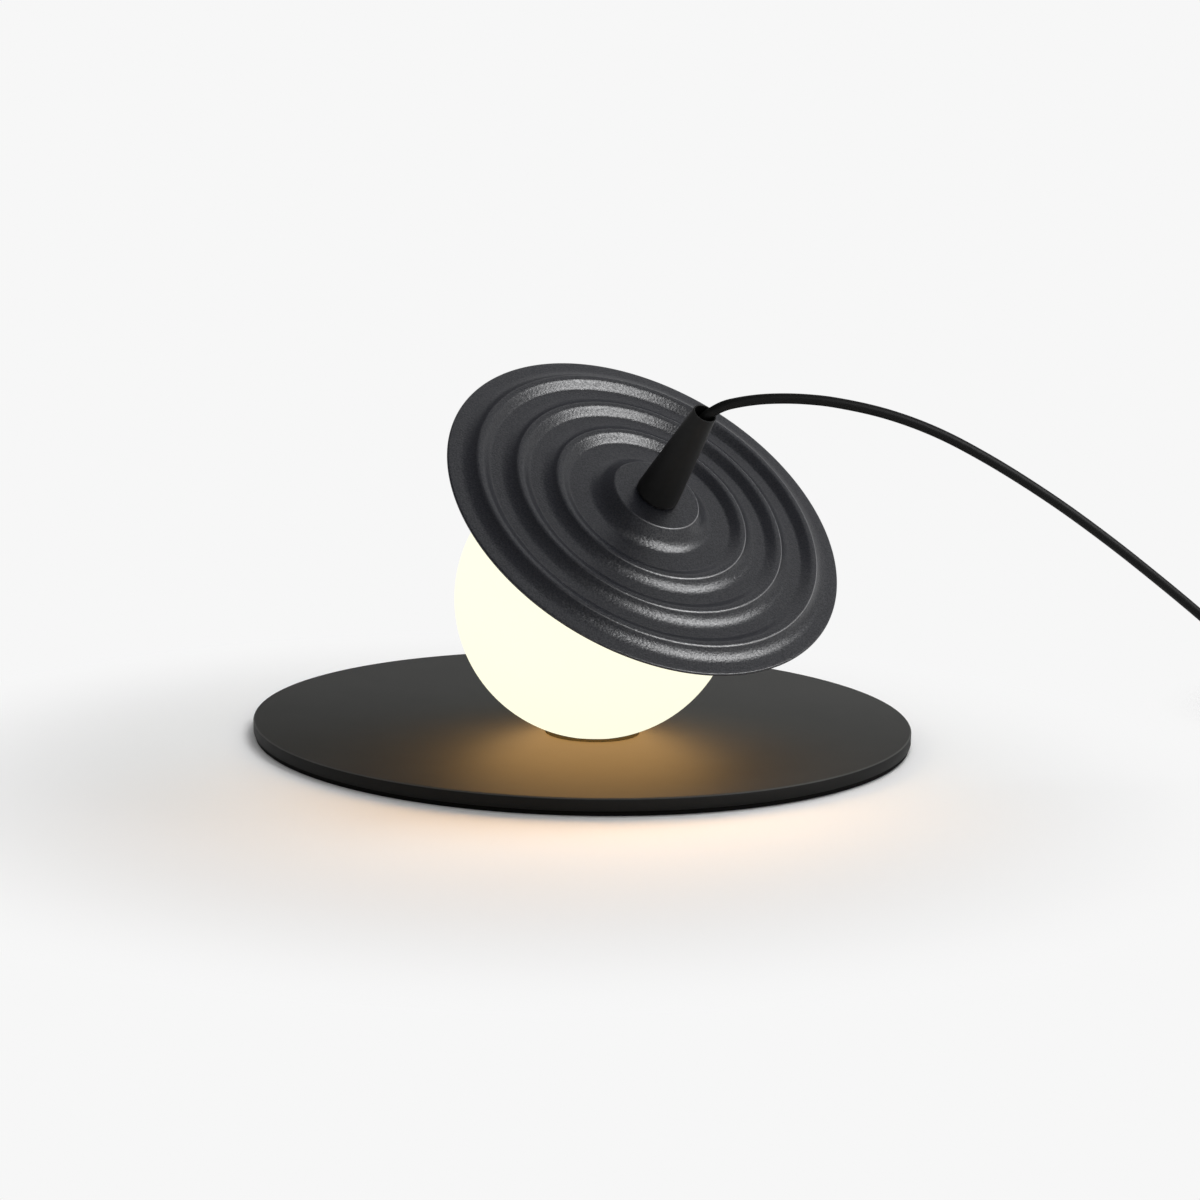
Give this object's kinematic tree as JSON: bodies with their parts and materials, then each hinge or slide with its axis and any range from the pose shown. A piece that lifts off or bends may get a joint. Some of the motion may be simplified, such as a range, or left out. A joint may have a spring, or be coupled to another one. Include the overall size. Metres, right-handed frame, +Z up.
{
  "type": "table lamp",
  "caption": "Table lamp: an opal globe leans on a round plate under a rippled disc shade with a tapered stem, cord, inline switch and plug.",
  "frame": {"origin": "middle of the resting face under the round plate", "axes": "+Z up; the globe rests on the plate on the -Y side of the middle; the cord lies on the +X side"},
  "size_m": [0.6705, 0.35, 0.197],
  "materials": {
    "plate_paint": "matt black coating",
    "shade_paint": "fine textured black powder coating",
    "stem_paint": "matt black coating",
    "opal_glass": "opal, lit from inside",
    "bulb_opal": "opal, lit from inside",
    "soft_black": "matt",
    "cord_black": "satin",
    "black_plastic": "fine satin",
    "white_plastic": "satin",
    "led_board": "satin",
    "steel": "zinc plated",
    "brass": "plain",
    "copper": "spring strip",
    "core": "insulated core"
  },
  "bodies": {
    "base": {"base_plate": "plate_paint", "foot_pad": "soft_black"},
    "seat": {"seat_ring": "soft_black", "cord_lead": "cord_black", "cord_run": "cord_black", "cord_coil": "cord_black", "cord_tie": "soft_black", "cord_tail": "cord_black", "switch_base": "black_plastic", "switch_cover": "black_plastic", "switch_terminal_1": "brass", "switch_terminal_2": "brass", "switch_leaf": "copper", "switch_screw_1": "steel", "switch_screw_2": "steel", "switch_sleeve_1": "soft_black", "switch_sleeve_2": "soft_black", "plug_body": "black_plastic", "plug_pin_1": "brass", "plug_pin_2": "brass", "plug_relief": "soft_black"},
    "head": {"globe": "opal_glass", "globe_gasket": "soft_black", "fitter_cup": "stem_paint", "fitter_screw_1": "steel", "fitter_screw_2": "steel", "fitter_screw_3": "steel", "shade_disc": "shade_paint", "shade_collar": "steel", "lock_washer": "steel", "locknut": "steel", "nipple": "brass", "holder_cap": "white_plastic", "holder_body": "white_plastic", "holder_insert": "white_plastic", "terminal_screw_1": "brass", "terminal_screw_2": "brass", "holder_contact_centre": "brass", "holder_contact_side": "brass", "core_live": "core", "core_neutral": "core", "cone_stem": "stem_paint", "cord_bush": "black_plastic", "cord_inner": "cord_black", "bulb_tip": "brass", "bulb_insulator": "black_plastic", "bulb_shell": "steel", "bulb_housing": "white_plastic", "led_board": "led_board", "bulb_diffuser": "bulb_opal"},
    "rocker": {"switch_rocker": "black_plastic"}
  },
  "joints": [
    {"name": "swivel", "type": "hinge", "parent": "base", "child": "seat", "pos_m": [0, -0.0379, 0.0087], "axis": [0, 0, 1], "range_deg": [-60, 60]},
    {"name": "head_tilt", "type": "hinge", "parent": "seat", "child": "head", "pos_m": [0, -0.0379, 0.0788], "axis": [0.8813, 0.4726, 0], "range_deg": [-39.7, 15], "deforming": ["cord_lead"]},
    {"name": "switch_rock", "type": "hinge", "parent": "seat", "child": "rocker", "pos_m": [0.482, -0.019, 0.0126], "axis": [1, 0, 0], "range_deg": [0, 14]}
  ]
}
